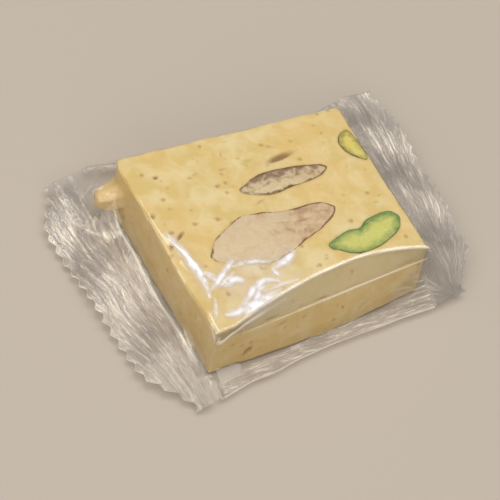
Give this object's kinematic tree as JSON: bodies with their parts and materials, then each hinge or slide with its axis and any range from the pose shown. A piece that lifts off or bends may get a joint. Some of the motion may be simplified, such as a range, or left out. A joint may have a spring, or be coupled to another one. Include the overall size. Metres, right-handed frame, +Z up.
{
  "type": "wrapped nougat block",
  "caption": "Small flat block of nut nougat sealed in a clear film sleeve with a crimped, zigzag-cut seal at each end.",
  "frame": {"origin": "under the middle of the nougat block, on its flat underside", "axes": "+X along the film sleeve from the left seal to the right seal, -Y towards the front long side, +Z up"},
  "size_m": [0.0659, 0.0476, 0.0102],
  "materials": {
    "film": "clear glossy wrapping film over pale golden nougat, milky where it is crimped",
    "nougat": "pale golden cut nougat with a fine crumb and small pits",
    "almond": "cut almond, creamy inside with a thin brown skin",
    "pistachio": "cut pistachio, yellow green inside with a darker green rim"
  },
  "bodies": {
    "root": {"nougat_pack": "film"}
  },
  "joints": []
}
